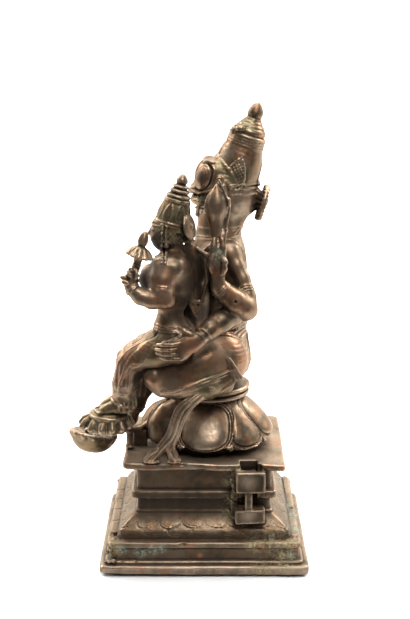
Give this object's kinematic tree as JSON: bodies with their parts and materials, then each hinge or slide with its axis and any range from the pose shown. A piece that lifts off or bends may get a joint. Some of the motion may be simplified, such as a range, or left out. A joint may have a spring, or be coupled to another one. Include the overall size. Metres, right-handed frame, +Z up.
{
  "type": "narasimha lakshmi statue",
  "caption": "Lion-headed seated figure with a smaller consort on the thigh, on a petalled lotus seat and a stepped square pedestal with an arch socket at each side.",
  "frame": {"origin": "middle of the pedestal's flat underside", "axes": "+Z up along the standing height; -Y is the front the figures face; +X is the figures' own left, the side the consort sits on"},
  "size_m": [0.0866, 0.1091, 0.2023],
  "materials": {
    "figure_bronze": "brown patinated cast bronze, rubbed coppery on raised parts",
    "pedestal_bronze": "brown patinated cast bronze with a little verdigris"
  },
  "bodies": {
    "root": {"pedestal": "pedestal_bronze", "figure_group": "figure_bronze"}
  },
  "joints": []
}
